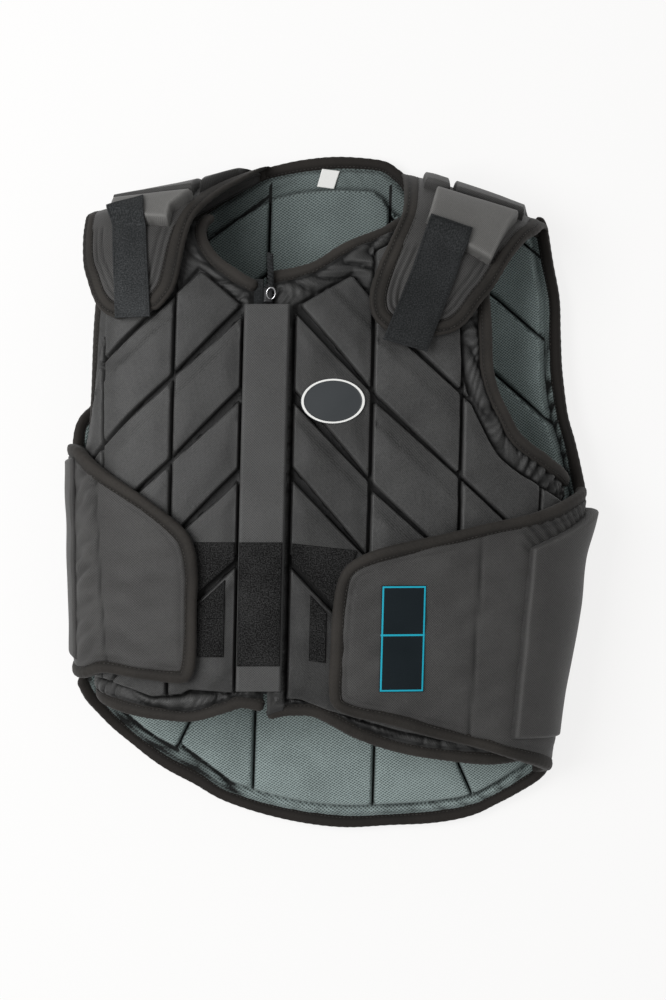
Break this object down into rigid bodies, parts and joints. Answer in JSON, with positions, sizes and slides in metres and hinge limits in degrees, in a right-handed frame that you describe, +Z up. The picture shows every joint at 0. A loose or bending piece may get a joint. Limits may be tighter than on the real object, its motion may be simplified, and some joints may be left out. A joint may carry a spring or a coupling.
{
  "type": "protective riding vest",
  "caption": "Padded foam body protector lying on its back: chevron-quilted panels, front zip under a placket, over-shoulder flaps with straps and wrap-round waist flaps.",
  "frame": {"origin": "middle of the vest's footprint, on the surface that it lies on", "axes": "+Z up from the back to the front of the vest, +Y toward the neck, +X to the right of someone looking down on it"},
  "size_m": [0.452, 0.5914, 0.1413],
  "materials": {
    "nylon": "charcoal twill nylon, slight satin",
    "edge_tape": "brownish grey binding tape, stitched",
    "strap_tape": "matte woven strap",
    "loop_pile": "matte loop pile",
    "mesh_lining": "grey-green air mesh",
    "zip_plastic": "moulded zip teeth",
    "zip_metal": "dark painted metal",
    "badge_patch": "plain moulded badge with a pale rim",
    "label_cloth": "smooth woven label with a pale blue border",
    "white_tape": "plain white woven tape"
  },
  "bodies": {
    "root": {"front_hem_binding_left": "edge_tape", "front_armhole_binding_left": "edge_tape", "front_neck_binding_left": "edge_tape", "front_panel_left": "nylon", "front_hem_binding_right": "edge_tape", "front_armhole_binding_right": "edge_tape", "front_neck_binding_right": "edge_tape", "front_panel_right": "nylon", "back_tail_binding": "edge_tape", "back_armhole_right_binding": "edge_tape", "back_collar_binding": "edge_tape", "back_armhole_left_binding": "edge_tape", "back_panel": "mesh_lining", "waist_flap_left": "nylon", "waist_binding_left": "edge_tape", "waist_flap_right": "nylon", "waist_binding_right": "edge_tape", "shoulder_flap_left": "nylon", "shoulder_binding_left": "edge_tape", "shoulder_strap_left": "strap_tape", "shoulder_flap_right": "nylon", "shoulder_binding_right": "edge_tape", "shoulder_strap_right": "strap_tape", "zip_tape_left": "strap_tape", "zip_tape_right": "strap_tape", "zip_chain": "zip_plastic", "zip_slider": "zip_metal", "zip_pull": "strap_tape", "zip_placket": "nylon", "loop_patch_placket": "loop_pile", "flap_label": "label_cloth", "loop_patch_left_upper": "loop_pile", "loop_patch_left_lower": "loop_pile", "loop_patch_right_upper": "loop_pile", "loop_patch_right_lower": "loop_pile", "chest_badge": "badge_patch", "size_label": "white_tape"}
  },
  "joints": []
}
